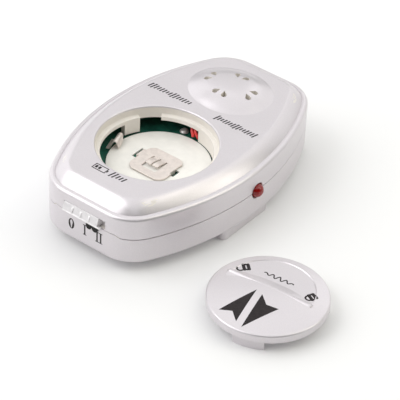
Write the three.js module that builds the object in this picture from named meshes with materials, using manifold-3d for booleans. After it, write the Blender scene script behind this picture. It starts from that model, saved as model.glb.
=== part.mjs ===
// Clip-on ultrasonic pest repeller, with its battery cover taken off and laid beside it.
// Millimetres, +Z up. The switch faces -Y, the sounder dome is at +Y, the lamp is on +X.
import * as THREE from 'three';
import { mergeVertices } from 'three/addons/utils/BufferGeometryUtils.js';
import Module from 'manifold-3d';

const wasm = await Module();
wasm.setup();

// ---- driving dimensions -------------------------------------------------------------
const length = 60;              // along Y
const halfWidth = 19.4;         // at the waist
const sideRadius = 53.8;        // bowed long sides, seen from above
const cornerRadius = 8.3;       // where a bowed side meets an end
const base = 2.3;               // underside of the body above the ground
const seam = base + 5.93;       // split between the two shells
const seamGap = 0.3;
const shoulder = base + 10.98;  // narrow flat rim round the top shell
const top = base + 13.16;       // flat top
const wall = 1.6;
const ceiling = 1.4;            // thickness of the top
const floor = 1.5;              // thickness of the bottom
const fillet = 0.85;

const wellY = -7.93;            // centre of the battery well
const discY = -7.2;             // the disc and contact sit a little off the well's centre
const lipRadius = 12.54;
const ledgeRadius = 11.5;       // hole through the ledge that the cover's lugs pass
const ledgeTop = top - 1.86;
const ledgeThickness = 0.9;
const ledgeBottom = ledgeTop - ledgeThickness;

const domeY = 16;               // centre of the oval sounder dome
const domeHalfX = 9.5;
const domeHalfY = 8;
const domeHeight = 1.9;
const soundHoleReachX = 5.15;   // from the dome's centre to a pair of holes
const soundHoleReachY = 3.6;

const boardBottom = base + 6.0;
const boardThickness = 1.2;
const boardTop = boardBottom + boardThickness;
const boardInset = 3.0;

const screwX = 9.5;
const screwY = 22.5;
const lampY = 0.5;
const lampRadius = 1.5;

const stepHalf = 8;             // the split line steps up round the switch
const stepTop = seam + 0.6;
const windowHalf = 5.35;        // switch window, along X
const windowTop = base + 8.75;
const knobTravel = 1.6;
const leverLeft = 0.7;
const leverWidth = 2.9;

const pinX = 11.7;              // clip hinge
const pinZ = base - 1.2;
const pinRadius = 0.5;
const hingeFrom = -8.7;         // the hinge block's ends along Y
const hingeTo = 6.0;

const coverRadius = 12.1;
const coverAt = new THREE.Vector3(37.95, -19.94, 0);
const coverTurn = 5.1;          // degrees
const gripCrestY = 1.55;        // the crest's line across the cover
const recessX = -0.6;           // the half-moon recess is centred a little off the middle
const recessRadius = 8.8;

const toRadians = THREE.MathUtils.degToRad;

// ---- solids and booleans --------------------------------------------------------------
function solid(geometry) {
  let clean = new THREE.BufferGeometry();
  clean.setAttribute('position', geometry.getAttribute('position').clone());
  if (geometry.index) clean.setIndex(geometry.index.clone());
  clean = mergeVertices(clean, 1e-5);
  const vertices = clean.getAttribute('position').array;
  const triangles = [];
  const index = clean.index.array;
  for (let i = 0; i < index.length; i += 3) {
    const [a, b, c] = [index[i], index[i + 1], index[i + 2]];
    if (a !== b && b !== c && c !== a) triangles.push(a, b, c);
  }
  let volume = 0;
  const corner = [new THREE.Vector3(), new THREE.Vector3(), new THREE.Vector3()];
  for (let i = 0; i < triangles.length; i += 3) {
    corner.forEach((point, k) => point.fromArray(vertices, 3 * triangles[i + k]));
    volume += corner[0].dot(corner[1].clone().cross(corner[2]));
  }
  if (volume < 0) triangles.reverse();
  return new wasm.Manifold(new wasm.Mesh({
    numProp: 3,
    vertProperties: new Float32Array(vertices),
    triVerts: new Uint32Array(triangles),
  }));
}

function geometryOf(manifold) {
  const mesh = manifold.getMesh();
  const geometry = new THREE.BufferGeometry();
  geometry.setAttribute('position', new THREE.BufferAttribute(mesh.vertProperties, 3));
  geometry.setIndex(new THREE.BufferAttribute(mesh.triVerts, 1));
  const faceted = geometry.toNonIndexed();
  faceted.computeVertexNormals();
  return faceted;
}

function joined(...solids) {
  return solids.reduce((sum, next) => sum.add(next));
}

function without(body, ...cutters) {
  return cutters.reduce((rest, next) => rest.subtract(next), body);
}

function box(x0, x1, y0, y1, z0, z1) {
  const geometry = new THREE.BoxGeometry(x1 - x0, y1 - y0, z1 - z0);
  geometry.translate((x0 + x1) / 2, (y0 + y1) / 2, (z0 + z1) / 2);
  return solid(geometry);
}

// a profile of [radius, height] points turned about the Z axis through (x, y)
function turned(profile, x = 0, y = 0, steps = 40) {
  const points = profile.map(([radius, height]) => new THREE.Vector2(radius, height));
  const geometry = new THREE.LatheGeometry(points, steps);
  geometry.rotateX(Math.PI / 2);
  geometry.translate(x, y, 0);
  return solid(geometry);
}

function rod(radius, z0, z1, x = 0, y = 0, steps = 24) {
  return turned([[0, z0], [radius, z0], [radius, z1], [0, z1]], x, y, steps);
}

function ring(inner, outer, z0, z1, x = 0, y = 0, steps = 40) {
  return turned([[inner, z0], [outer, z0], [outer, z1], [inner, z1], [inner, z0]], x, y, steps);
}

function prism(shape, z0, z1, curveSteps = 12) {
  const settings = { depth: z1 - z0, bevelEnabled: false, curveSegments: curveSteps };
  const geometry = new THREE.ExtrudeGeometry(shape, settings);
  geometry.translate(0, 0, z0);
  return solid(geometry);
}

function polygon(points) {
  return new THREE.Shape(points.map(([x, y]) => new THREE.Vector2(x, y)));
}

function ringSector(inner, outer, from, to, z0, z1, x = 0, y = 0) {
  const shape = new THREE.Shape();
  shape.absarc(0, 0, outer, toRadians(from), toRadians(to), false);
  shape.absarc(0, 0, inner, toRadians(to), toRadians(from), true);
  shape.closePath();
  const steps = Math.max(4, Math.round((to - from) / 8));
  return prism(shape, z0, z1, steps).translate([x, y, 0]);
}

// a round wire along a path of points
function wire(points, radius, steps) {
  const section = new THREE.Shape();
  section.absarc(0, 0, radius, 0, 2 * Math.PI, false);
  const path = new THREE.CatmullRomCurve3(points.map((point) => new THREE.Vector3(...point)));
  return solid(new THREE.ExtrudeGeometry(section, { steps, extrudePath: path, curveSegments: 3 }));
}

// a bent strip of sheet: its edge follows [distance, height] points in the XZ plane
function bentStrip(points, thickness, width, steps) {
  const line = new THREE.SplineCurve(points.map(([x, z]) => new THREE.Vector2(x, z)));
  const along = [...Array(steps + 1).keys()].map((i) => i / steps);
  const side = (hand) => along.map((t) => {
    const point = line.getPoint(t);
    const tangent = line.getTangent(t);
    return [point.x - hand * tangent.y * thickness / 2, point.y + hand * tangent.x * thickness / 2];
  });
  const section = polygon([...side(1), ...side(-1).reverse()]);
  return prism(section, -width / 2, width / 2).rotate([90, 0, 0]);
}

// the body's plan outline, drawn in by an inset, as points going round from +X
function outline(inset) {
  const sideCentre = halfWidth - sideRadius;
  const cornerY = length / 2 - cornerRadius;
  const cornerX = sideCentre + Math.sqrt((sideRadius - cornerRadius) ** 2 - cornerY ** 2);
  const turn = Math.atan2(cornerY, cornerX - sideCentre);
  const quarter = [];
  for (let i = 0; i < 7; i += 1) {
    const angle = (turn * i) / 7;
    const radius = sideRadius - inset;
    quarter.push([sideCentre + radius * Math.cos(angle), radius * Math.sin(angle)]);
  }
  for (let i = 0; i <= 7; i += 1) {
    const angle = turn + ((Math.PI / 2 - turn) * i) / 7;
    const radius = cornerRadius - inset;
    quarter.push([cornerX + radius * Math.cos(angle), cornerY + radius * Math.sin(angle)]);
  }
  const left = quarter.slice(1).reverse().map(([x, y]) => [-x, y]);
  const half = [...quarter, ...left];
  const lower = half.slice().reverse().map(([x, y]) => [x, -y]);
  return [...half, [-quarter[0][0], 0], ...lower.filter(([, y]) => y < -1e-9)];
}

// a solid through loops of the same count, flat at both ends
function lofted(loops) {
  const count = loops[0].length;
  const index = [];
  for (let layer = 0; layer < loops.length - 1; layer += 1) {
    for (let i = 0; i < count; i += 1) {
      const a = layer * count + i;
      const b = layer * count + ((i + 1) % count);
      index.push(a, b, b + count, a, b + count, a + count);
    }
  }
  const last = (loops.length - 1) * count;
  for (let i = 1; i < count - 1; i += 1) {
    index.push(0, i + 1, i);
    index.push(last, last + i, last + i + 1);
  }
  const geometry = new THREE.BufferGeometry();
  geometry.setAttribute('position', new THREE.Float32BufferAttribute(loops.flat(2), 3));
  geometry.setIndex(index);
  return solid(geometry);
}

// a solid stacked from outlines, each layer given as [inset, height]
function stacked(layers) {
  return lofted(layers.map(([inset, height]) => outline(inset).map(([x, y]) => [x, y, height])));
}

const screwSpots = [[-screwX, -screwY], [screwX, -screwY], [screwX, screwY], [-screwX, screwY]];

function lampBore() {
  return rod(lampRadius + 0.25, 16, 21.5).rotate([0, 90, 0]).translate([0, lampY, seam]);
}

// ---- upper shell -------------------------------------------------------------------------
function topHousing() {
  const outside = stacked([
    [0, seam + seamGap / 2],
    [0, shoulder - fillet],
    [0.25, shoulder - 0.25],
    [fillet, shoulder],
    [1.2, shoulder],
    [2.5, shoulder + 1.2],
    [3.6, top - 0.12],
    [4.3, top],
  ]);
  const inside = stacked([
    [wall, seam - 1],
    [wall, shoulder - wall],
    [5.2, top - ceiling],
  ]);
  const posts = joined(...screwSpots.map(([x, y]) => rod(2.2, seam + 1.1, top - 0.5, x, y, 16)));
  const postHoles = screwSpots.map(([x, y]) => rod(1.15, seam - 1, base + 10.2, x, y, 12));
  const shell = joined(without(outside, inside), posts.intersect(outside));
  const switchWindow = joined(
    box(-windowHalf, windowHalf, -31, -28, seam - 1, windowTop),
    box(-7.6, 7.6, -29.1, -28, seam - 1, windowTop + 0.4),
    box(-stepHalf, stepHalf, -31, -27.9, seam - 1, stepTop + seamGap / 2),
  );
  const wellCut = turned([
    [0, ledgeTop], [lipRadius, ledgeTop], [lipRadius, top - 0.3], [lipRadius + 0.4, top + 0.1],
    [lipRadius + 0.4, top + 1], [0, top + 1],
  ], 0, wellY);
  const open = without(shell, switchWindow, wellCut, lampBore(), ...postHoles);
  return without(joined(open, batteryWell(), sounderDome(outside)), domeHollow(), ...soundHoles());
}

function batteryWell() {
  const tube = ring(lipRadius, lipRadius + 1.2, ledgeBottom, top - 0.6, 0, wellY);
  const ledge = ring(ledgeRadius, lipRadius + 0.6, ledgeBottom, ledgeTop, 0, wellY);
  const entries = [136, 256].map((angle) => ringSector(
    ledgeRadius - 1, lipRadius, angle - 11, angle + 11, ledgeBottom - 1, ledgeTop + 0.02, 0, wellY));
  const skirtBottom = boardTop + 0.6;
  const skirts = [[-102, 82], [147, 164]].map(([from, to]) => ringSector(
    ledgeRadius, lipRadius + 0.3, from, to, skirtBottom, ledgeBottom + 0.2, 0, wellY));
  return joined(tube, without(ledge, ...entries), ...skirts);
}

// an oval dome: steep at its foot, nearly flat on top
function oval(halfX, halfY, height, foot, depth, steps, around) {
  const profile = [[0, foot - depth], [1, foot - depth]];
  for (let i = 0; i <= steps; i += 1) {
    const across = Math.cos((Math.PI / 2) * (i / steps) ** 1.3);
    profile.push([i === steps ? 0 : across, foot + height * (1 - across ** 3) ** 1.2]);
  }
  return turned(profile, 0, 0, around).scale([halfX, halfY, 1]).translate([0, domeY, 0]);
}

function sounderDome() {
  const skin = oval(domeHalfX, domeHalfY, domeHeight, top - 0.02, 0.6, 6, 36);
  const seat = ring(8.6, 9.6, top - 3.6, top - 0.6, 0, domeY, 32);
  const wireGap = box(-2.2, 2.6, domeY - 10, domeY - 7.5, top - 4, top - 2);
  return joined(skin, without(seat, wireGap));
}

function domeHollow() {
  return oval(domeHalfX - 1.4, domeHalfY - 1.4, domeHeight - 0.3, top - ceiling, 1.2, 4, 28);
}

// eight tear-shaped holes: a pair on each side of the dome, splayed outwards
function soundHoles() {
  const tear = new THREE.Shape();
  tear.moveTo(-0.9, 0);
  tear.quadraticCurveTo(-0.3, 0.3, 0.2, 0.6);
  tear.absarc(0.3, 0, 0.61, toRadians(100), toRadians(-100), true);
  tear.quadraticCurveTo(-0.3, -0.3, -0.9, 0);
  const cutter = prism(tear, top - 4, top + 4, 3);
  const holes = [];
  for (const side of [0, 90, 180, 270]) {
    const reach = side % 180 === 0 ? soundHoleReachX : soundHoleReachY;
    for (const hand of [-1, 1]) {
      const hole = cutter.rotate([0, 0, hand * 31]).translate([reach, hand * 1.0, 0]);
      holes.push(hole.rotate([0, 0, side]).translate([0, domeY, 0]));
    }
  }
  return holes;
}

// ---- lower shell ---------------------------------------------------------------------------
function bottomHousing() {
  const rim = seam - seamGap / 2;
  const outside = stacked([
    [fillet, base],
    [0.25, base + 0.25],
    [0, base + fillet],
    [0, rim],
  ]);
  const inside = stacked([
    [wall, base + floor],
    [wall, base + 4.5],
    [2.5, base + 4.9],
    [2.5, rim + 2],
  ]);
  const lip = without(
    stacked([[1.95, rim - 0.5], [1.95, rim + 0.9]]),
    stacked([[2.5, rim - 1], [2.5, rim + 1]]),
  );
  const bosses = joined(...screwSpots.map(([x, y]) => rod(2.7, base + 1, rim, x, y, 20)));
  const rests = [[-12.5, -9], [12.5, -9], [-11, 12], [11, 12]];
  const boardRests = rests.map(([x, y]) => rod(1, base + 1, boardBottom - 0.2, x, y, 12));
  const raised = stacked([[0, rim - 0.5], [0, stepTop - seamGap / 2]]);
  const step = box(0.2 - stepHalf, stepHalf - 0.2, -31, -28.4, rim - 0.5, top).intersect(raised);
  const shell = joined(
    without(outside, inside), lip, step, bosses, ...boardRests, hingeBlock());
  const screwBores = screwSpots.flatMap(([x, y]) => [
    rod(1.15, base - 1, rim + 1, x, y, 12),
    rod(1.95, base - 1, base + 2, x, y, 16),
  ]);
  const switchRoom = box(-7.4, 8.2, -28.4, -26.9, base + 3.6, rim + 2);
  const lampRoom = box(13, 17.4, lampY - 2.2, lampY + 2.2, base + 3.6, rim + 2);
  return without(shell, ...screwBores, switchRoom, lampRoom, lampBore(), pinBore(0.05));
}

function pinBore(clearance) {
  const bore = rod(pinRadius + clearance, hingeFrom + 0.4, hingeTo - 0.4, 0, 0, 24);
  return bore.rotate([-90, 0, 0]).translate([pinX, 0, pinZ]);
}

// one moulded block on the lamp side, with a cheek at each end of the clip's hinge
function hingeBlock() {
  const outer = 18.4;
  const round = 1.2;
  const plan = new THREE.Shape();
  plan.moveTo(10.2, hingeFrom);
  plan.lineTo(outer - round, hingeFrom);
  plan.absarc(outer - round, hingeFrom + round, round, -Math.PI / 2, 0, false);
  plan.absarc(outer - round, hingeTo - round, round, 0, Math.PI / 2, false);
  plan.lineTo(10.2, hingeTo);
  plan.closePath();
  const block = prism(plan, 0, base + 0.4, 4);
  return without(block, box(9, 14.2, hingeFrom + 2.2, hingeTo - 2.2, -1, base));
}

// ---- what is in the battery well -------------------------------------------------------------
const tabSpots = [[-4.65, -7.3, 2.6], [4.15, -7.95, 1.5]];   // x, y and length of each bent tab

function slots(z0, z1, clearance, outside) {
  return tabSpots.map(([x, y, long]) => box(
    x - 0.15 - (x < 0 ? outside : clearance), x + 0.15 + (x > 0 ? outside : clearance),
    y - long / 2 - clearance, y + long / 2 + clearance, z0, z1));
}

function circuitBoard() {
  const board = stacked([[boardInset, boardBottom], [boardInset, boardTop]]);
  const corners = screwSpots.map(([x, y]) => rod(3.1, boardBottom - 1, boardTop + 1, x, y, 20));
  const lampNotch = box(12.3, 20, lampY - 2.3, lampY + 2.3, boardBottom - 1, boardTop + 1);
  const switchNotch = box(-8.5, 9, -31, -26.6, boardBottom - 1, boardTop + 1);
  return without(board, ...corners, lampNotch, switchNotch,
    ...slots(boardBottom - 1, boardTop + 1, 0.25, 0.25));
}

function insulatingDisc() {
  const disc = rod(10.75, boardTop + 0.1, boardTop + 0.5, 0, discY, 40);
  return without(disc, ...slots(boardTop - 1, boardTop + 1, 0.35, 0.9));
}

// a rounded plate with two sprung tongues in its window and a bent tab on each side
function negativeContact() {
  const z0 = boardTop + 0.65;
  const z1 = z0 + 0.3;
  const plan = new THREE.Shape();
  const [left, right, front, back, round] = [-4.35, 4.65, -12.53, -3.98, 2];
  plan.absarc(right - round, back - round, round, 0, Math.PI / 2, false);
  plan.absarc(left + round, back - round, round, Math.PI / 2, Math.PI, false);
  plan.absarc(left + round, front + round, round, Math.PI, 1.5 * Math.PI, false);
  plan.absarc(right - round, front + round, round, 1.5 * Math.PI, 2 * Math.PI, false);
  plan.closePath();
  const opening = box(-1.9, 1.9, wellY - 2.75, wellY + 1.4, 0, top);
  const notch = box(4.3, 5, -9.0, -5.4, 0, top);
  const sheet = without(prism(plan, z0, z1, 4), opening, notch);
  const rising = [[1.7, 0], [1.0, 0.02], [0, 0.3], [-1.0, 0.45], [-1.6, 0.35]];
  const tongue = bentStrip(rising, 0.24, 1.35, 8).rotate([0, 0, 90]);
  const tongues = [-0.85, 0.85].map((x) => tongue.translate([x, wellY, (z0 + z1) / 2]));
  const tabs = tabSpots.map(([x, y, long]) => box(
    x - 0.15, x + 0.15, y - long / 2, y + long / 2, boardBottom - 0.8, z1));
  const bridge = box(-4.6, -4.2, -8.3, -6.3, z0, z1);
  return joined(sheet, ...tongues, ...tabs, bridge);
}

// a sprung leaf folded like a hairpin: it stands on the board, turns over at the top and comes
// down narrower towards the cell's edge
function positiveContact() {
  const foot = boardTop + 0.15;
  const low = boardTop + 0.75;
  const bend = [
    [-2.1, foot + 0.1], [-1.38, foot + 0.12], [-1.12, foot + 0.9], [-0.6, low + 1.25],
    [-0.18, low + 1.6], [0.2, low + 1.45], [0.5, low + 0.85], [0.68, low + 0.3],
    [0.58, low + 0.05],
  ];
  const leaf = bentStrip(bend, 0.2, 3.4, 20).translate([0, 1.6, 0]);
  const taper = lofted([-0.12, 3].map((x) => (
    [[3.7, low + 1.5], [1.0, low - 0.3], [3.7, low - 0.3]].map(([y, z]) => [x, y, z]))));
  return without(leaf, taper).rotate([0, 0, 19]).translate([-9.54, -9.5, 0]);
}

// ---- sounder, wires and small electronics --------------------------------------------------------
function sounderPlate() {
  return rod(8.3, top - 3.2, top - 3.0, 0, domeY, 32);
}

function sounderCeramic() {
  return rod(6.1, top - 3.55, top - 3.3, 0, domeY, 32);
}

function sounderWire(hand) {
  const spread = 0.45 * hand;
  const rise = boardTop;
  const start = hand < 0
    ? [[0.1, 3.7, rise + 0.95], [-0.1, 3.9, rise + 1.4]]
    : [[1.15, 4.5, rise + 0.5], [1.0, 4.2, rise + 0.9], [0.8, 4.1, rise + 1.5]];
  return wire([
    ...start,
    [spread - 0.3, 4.4, rise + 2.1],
    [spread - 0.6, 5.6, rise + 2.75],
    [spread - 0.5, 7.4, rise + 2.2],
    [spread * 2.4, 9.6, rise + 1.85],
    [spread * 3, 12.5, rise + 1.85],
  ], 0.34, 22);
}

function wireSolderJoint() {
  const foot = boardTop + 0.1;
  return turned([
    [0, foot], [1.0, foot], [0.92, foot + 0.25], [0.6, foot + 0.5], [0.25, foot + 0.62],
    [0, foot + 0.64],
  ], -3.2, 5.0, 16);
}

function switchCase() {
  const can = box(-1.4, 6.6, -26.6, -23.2, base + 2.7, boardBottom - 0.2);
  const hollow = box(-1.0, 6.2, -26.2, -23.6, base + 2, boardBottom - 0.6);
  const slot = box(leverLeft - 0.3, leverLeft + leverWidth + knobTravel + 0.3, -27, -26,
    base + 3.85, base + 5.7);
  return without(can, hollow, slot);
}

function switchBase() {
  return box(-0.8, 6.0, -24.6, -23.8, base + 2.4, boardBottom - 0.8);
}

// it reaches out over the step and ends in a two-toothed pointer in front of the wall
function switchLever() {
  const right = leverLeft + leverWidth;
  const bridge = box(leverLeft, right, -30.45, -27.2, stepTop + 0.05, stepTop + 0.35);
  const drop = box(leverLeft, right, -27.8, -27.2, base + 4.15, stepTop + 0.35);
  const arm = box(leverLeft, right, -27.8, -25, base + 4.15, base + 5.4);
  const teeth = [leverLeft + 0.68, right - 0.68].map((x) => joined(
    box(x - 0.68, x + 0.68, -30.45, -30.12, base + 5.83, stepTop + 0.35),
    rod(0.68, -30.45, -30.12, 0, 0, 16).rotate([-90, 0, 0]).translate([x, 0, base + 5.83]),
  ));
  return joined(bridge, drop, arm, ...teeth);
}

// its face slopes out to a lip, which hides the lever's bridge and runs on past the face
function slideKnob() {
  const left = -windowHalf + 0.25;
  const right = windowHalf - 0.25 - knobTravel;
  const bottom = stepTop + 0.15;
  const crest = windowTop - 0.15;
  const wedge = [
    [-28, bottom], [-30.75, bottom], [-30.75, bottom + 0.3], [-29.95, crest], [-28, crest],
  ];
  const face = lofted([left, right].map((x) => wedge.map(([y, z]) => [x, y, z])));
  const lip = box(left, right + 1.1, -30.75, -30.05, bottom, bottom + 0.3);
  const bar = [[-29.8, bottom + 0.4], [-30.8, bottom + 0.4], [-30.12, crest - 0.3], [-29.8, crest - 0.3]];
  const ridges = [-2.9, -0.7, 1.4].map((middle) => lofted(
    [middle - 0.25, middle + 0.25].map((x) => bar.map(([y, z]) => [x, y, z]))));
  const guide = box(left - 1.2, right + 1.2, -28.15, -27.6, base + 4.3, windowTop + 0.2);
  const shutter = box(left - 1.2, right + 1.2, -28.95, -27.9, stepTop + 0.1, windowTop + 0.2);
  const fork = box(
    leverLeft - 0.2, leverLeft + leverWidth + 0.2, -30.5, -27, base + 4, stepTop + 0.5);
  return without(joined(face, lip, ...ridges, guide, shutter), fork);
}

function lamp() {
  const profile = [[0, 14.9], [1.9, 14.9], [1.9, 15.8], [lampRadius, 15.8]];
  for (let i = 0; i <= 6; i += 1) {
    const angle = (Math.PI / 2) * (i / 6);
    profile.push([lampRadius * Math.cos(angle), 19.1 + lampRadius * Math.sin(angle)]);
  }
  return turned(profile, 0, 0, 24).rotate([0, 90, 0]).translate([0, lampY, seam]);
}

function lampLeg(hand) {
  const y = lampY + 0.64 * hand;
  return wire([
    [14.7, y, seam], [13.8, y, seam], [12.9, y, seam - 0.25], [12.2, y, seam - 0.5],
    [10.9, y, seam - 0.5],
  ], 0.22, 10);
}

function driverChip() {
  const z = boardTop + 0.35;
  const package8 = box(3.6, 8.4, 9.4, 13.2, z, z + 1.4);
  const legs = [];
  for (let i = 0; i < 4; i += 1) {
    const x = 4.1 + 1.27 * i;
    for (const [y0, y1] of [[8.4, 9.6], [13.0, 14.2]]) {
      legs.push(box(x - 0.2, x + 0.2, y0, y1, z + 0.1, z + 0.5));
    }
  }
  return joined(package8, ...legs);
}

function transistor() {
  const z = boardTop + 0.2;
  const packaged = box(-8.4, -5.5, 11.6, 12.9, z, z + 1);
  const legs = [[-7.9, 10.9, 11.7], [-6.0, 10.9, 11.7], [-6.95, 12.8, 13.6]];
  return joined(packaged, ...legs.map(([x, y0, y1]) => box(x - 0.2, x + 0.2, y0, y1, z, z + 0.3)));
}

function boostCoil() {
  const z = boardBottom - 0.3;
  return turned([
    [0, z - 3.6], [2.8, z - 3.6], [2.8, z - 2.9], [2.2, z - 2.9], [2.2, z - 0.7],
    [2.8, z - 0.7], [2.8, z], [0, z],
  ], -6.5, 4, 28);
}

function reservoirCapacitor() {
  const can = turned([
    [0, -3], [1.9, -3], [2.0, -2.8], [2.0, -2.3], [1.85, -2.1], [2.0, -1.9], [2.0, 2.8],
    [1.85, 3], [0, 3],
  ], 0, 0, 24);
  return can.rotate([0, 90, 0]).translate([2, 17, boardBottom - 2.4]);
}

function chipPart(x, y, high, turn) {
  const part = box(-1, 1, -0.62, 0.62, boardTop + 0.15, boardTop + 0.15 + high);
  return part.rotate([0, 0, turn]).translate([x, y, 0]);
}

function housingScrew([x, y]) {
  const head = base + 0.35;
  const screw = turned([
    [0, head], [1.4, head], [1.65, head + 0.3], [1.65, head + 1.4], [0.85, head + 1.4],
    [0.85, base + 9.2], [0.3, base + 9.8], [0, base + 9.8],
  ], x, y, 16);
  const recess = [[1.0, 0.2], [0.2, 1.0]].map(([long, wide]) => (
    box(x - long, x + long, y - wide, y + wide, base, head + 0.7)));
  return without(screw, ...recess);
}

// ---- belt clip -------------------------------------------------------------------------------------
function beltClip() {
  const under = 0;
  const knuckleFrom = hingeFrom + 2.45;
  const knuckleTo = hingeTo - 2.45;
  const tip = -16.2;
  const plate = new THREE.Shape();
  plan(plate, tip, 9.9, hingeFrom, hingeTo, 3.2);
  const blade = prism(plate, under, base - 1.25, 6);
  const neck = box(9.5, pinX, knuckleFrom, knuckleTo, under + 0.15, base - 1.25);
  const barrel = rod(1.0, knuckleFrom, knuckleTo, 0, 0, 20)
    .rotate([-90, 0, 0]).translate([pinX, 0, pinZ]);
  const jaw = box(tip + 0.8, tip + 1.8, hingeFrom + 3, hingeTo - 3, 1, base - 0.3);
  const springRoom = box(9.7, 14, -3.0, 0.3, -1, base);
  return without(joined(blade, neck, barrel, jaw), springRoom, pinBore(0.05));
}

function plan(shape, x0, x1, y0, y1, round) {
  shape.moveTo(x1, y0);
  shape.lineTo(x1, y1);
  shape.lineTo(x0 + round, y1);
  shape.absarc(x0 + round, y1 - round, round, Math.PI / 2, Math.PI, false);
  shape.absarc(x0 + round, y0 + round, round, Math.PI, 1.5 * Math.PI, false);
  shape.closePath();
}

function clipPin() {
  const pin = rod(pinRadius, hingeFrom + 0.6, hingeTo - 0.6, 0, 0, 24);
  return pin.rotate([-90, 0, 0]).translate([pinX, 0, pinZ]);
}

function clipSpring() {
  const radius = 0.76;
  const turns = 3;
  const points = [[pinX - 3.2, -2.6, pinZ + radius], [pinX - 1.2, -2.6, pinZ + radius]];
  const perTurn = 8;
  for (let i = 0; i <= turns * perTurn + perTurn / 2; i += 1) {
    const angle = Math.PI / 2 - (2 * Math.PI * i) / perTurn;
    const y = -2.6 + (2.4 * i) / (turns * perTurn + perTurn / 2);
    points.push([pinX + radius * Math.cos(angle), y, pinZ + radius * Math.sin(angle)]);
  }
  points.push([pinX - 1.2, -0.2, pinZ - radius + 0.02]);
  return wire(points, 0.15, 50);
}

// ---- battery cover, lying right way up on its lugs -----------------------------------------------
function batteryCover() {
  const lugTop = 2.3;
  const edge = lugTop + 1.85;
  const crown = edge + 0.85;
  const profile = [[0, lugTop], [coverRadius - 0.2, lugTop], [coverRadius, lugTop + 0.2]];
  profile.push([coverRadius, edge - 0.3], [coverRadius - 0.3, edge]);
  for (let i = 1; i <= 5; i += 1) {
    const across = (1 - i / 5) * (coverRadius - 0.3);
    profile.push([across, edge + (crown - edge) * (1 - (across / coverRadius) ** 2)]);
  }
  const disc = turned(profile);
  const guide = ringSector(9.7, 11.3, -94, -61, 0, lugTop + 0.3);
  const lugs = [43, 163].map((angle) => joined(
    ringSector(9.7, 11.3, angle - 14, angle + 14, 0, lugTop + 0.3),
    ringSector(11.1, 12.1, angle - 9, angle + 9, 0, 1.2),
  ));
  const relief = rod(9, lugTop - 1, lugTop + 0.6, 0, 0, 48);
  const body = without(joined(disc, grip(edge), guide, ...lugs), relief, fingerRecess(edge));
  return body.rotate([0, 0, coverTurn]).translate(coverAt.toArray());
}

// a ramp across the cover that ends in the crest a thumb pushes on
function grip(edge) {
  const section = [[-1.4, 3], [-1.4, edge + 0.08], [gripCrestY, edge + 0.8], [gripCrestY, 3]];
  return lofted([-10.3, 9.0].map((x) => section.map(([y, z]) => [x, y, z])));
}

// a half-moon hollow behind the crest: a short slope down from it, then a flat floor
function fingerRecess(edge) {
  const far = 12;
  const sections = [-10, -7.5, -5, -2.5, 0, 2.5, 5, 7.5, 10].map((x) => {
    const slope = 0.35 + 1.75 * (1 - (x / 10) ** 2);
    return [
      [gripCrestY, edge + 0.85 - 0.001 * x * x], [gripCrestY + slope, edge + 0.2],
      [far, edge - 0.02], [far, far], [gripCrestY, far],
    ].map(([y, z]) => [x, y, z]);
  });
  return rod(recessRadius, 2, 8, recessX, gripCrestY, 48).intersect(lofted(sections));
}

// ---- the object -----------------------------------------------------------------------------------
const silver = { color: 0xd9d4d8, roughness: 0.38, metalness: 0.25 };
const rawPlastic = { color: 0xe4dfd0, roughness: 0.55, metalness: 0 };
const board = { color: 0x0b4a3a, roughness: 0.45, metalness: 0 };
const blackPlastic = { color: 0x111113, roughness: 0.5, metalness: 0 };
const nickel = { color: 0xdccfbf, roughness: 0.3, metalness: 0.8 };
const steel = { color: 0xc4c6c8, roughness: 0.28, metalness: 0.95 };
const brass = { color: 0xc9a55a, roughness: 0.35, metalness: 0.9 };
const ceramic = { color: 0xe9e5da, roughness: 0.6, metalness: 0 };
const redPlastic = { color: 0xc02226, roughness: 0.4, metalness: 0 };
const redLens = { color: 0x7d0c14, roughness: 0.12, metalness: 0 };
const solder = { color: 0xc9cccf, roughness: 0.35, metalness: 0.9 };
const copper = { color: 0xa8582e, roughness: 0.4, metalness: 0.8 };

const group = new THREE.Group();
group.name = 'ultrasonic_pest_repeller';

function place(name, manifold, look) {
  const mesh = new THREE.Mesh(geometryOf(manifold), new THREE.MeshStandardMaterial(look));
  mesh.name = name;
  group.add(mesh);
}

place('top_housing', topHousing(), silver);
place('bottom_housing', bottomHousing(), silver);
place('circuit_board', circuitBoard(), board);
place('insulating_disc', insulatingDisc(), ceramic);
place('negative_contact', negativeContact(), nickel);
place('positive_contact', positiveContact(), nickel);
place('sounder_plate', sounderPlate(), brass);
place('sounder_ceramic', sounderCeramic(), ceramic);
place('sounder_wire_a', sounderWire(-1), redPlastic);
place('sounder_wire_b', sounderWire(1), redPlastic);
place('wire_solder_joint', wireSolderJoint(), solder);
place('switch_case', switchCase(), steel);
place('switch_base', switchBase(), blackPlastic);
place('switch_lever', switchLever(), blackPlastic);
place('slide_knob', slideKnob(), rawPlastic);
place('led_lamp', lamp(), redLens);
place('led_leg_a', lampLeg(-1), steel);
place('led_leg_b', lampLeg(1), steel);
place('driver_chip', driverChip(), blackPlastic);
place('transistor', transistor(), blackPlastic);
place('boost_coil', boostCoil(), copper);
place('reservoir_capacitor', reservoirCapacitor(), blackPlastic);
place('timing_capacitor', chipPart(-0.6, 11.5, 0.8, 90), ceramic);
place('resistor_a', chipPart(-10.6, 6.5, 0.5, 90), blackPlastic);
place('resistor_b', chipPart(10.8, 7.5, 0.5, 90), blackPlastic);
screwSpots.forEach((spot, i) => place(`housing_screw_${i + 1}`, housingScrew(spot), steel));
place('belt_clip', beltClip(), silver);
place('clip_pin', clipPin(), steel);
place('clip_spring', clipSpring(), steel);
place('battery_cover', batteryCover(), silver);

export default group;
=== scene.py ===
import math

import bmesh
import bpy
from mathutils import Matrix, Vector
from mathutils.bvhtree import BVHTree


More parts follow.
